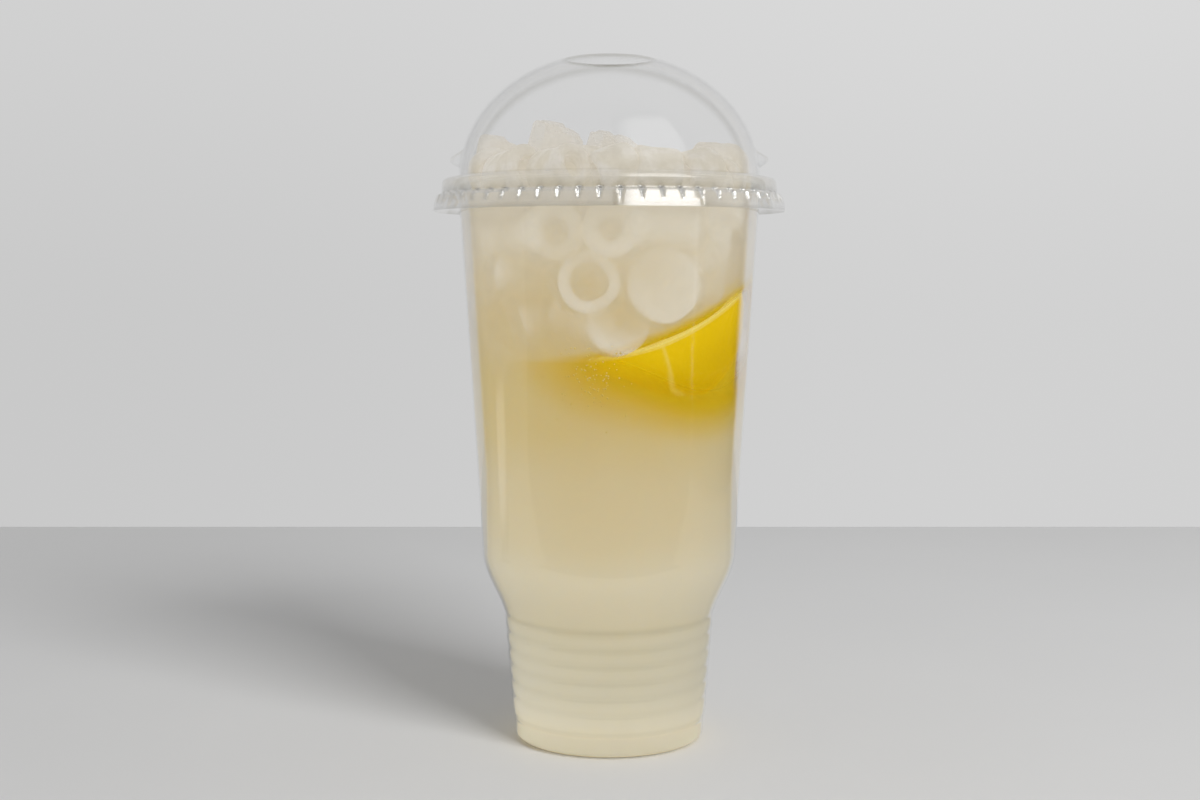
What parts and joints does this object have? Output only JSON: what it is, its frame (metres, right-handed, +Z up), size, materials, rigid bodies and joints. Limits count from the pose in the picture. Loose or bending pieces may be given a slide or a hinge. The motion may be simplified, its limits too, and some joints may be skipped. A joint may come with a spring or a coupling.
{
  "type": "iced lemonade",
  "caption": "Cloudy iced lemonade in a tall clear plastic cup with a ribbed pedestal foot and a clear dome lid with a straw hole.",
  "frame": {"origin": "middle of the cup's foot, in the plane that it stands on", "axes": "+Z up along the cup's axis; the front, which shows the lemon half through the wall, is at -Y, and +X is to its right"},
  "size_m": [0.1128, 0.1128, 0.2189],
  "materials": {
    "cup": "clear thermoformed plastic",
    "dome_lid": "clear thermoformed plastic",
    "lemonade": "cloudy pale yellow drink",
    "ice": "cloudy wet ice"
  },
  "bodies": {
    "root": {"cup": "cup", "dome_lid": "dome_lid", "lemonade": "lemonade", "ice_tube_left": "ice", "ice_tube_tall": "ice", "ice_tube_back": "ice", "ice_tube_front_left": "ice", "ice_tube_front": "ice", "ice_tube_front_right": "ice", "ice_tube_middle": "ice", "ice_tube_right": "ice", "ice_tube_right_back": "ice"}
  },
  "joints": []
}
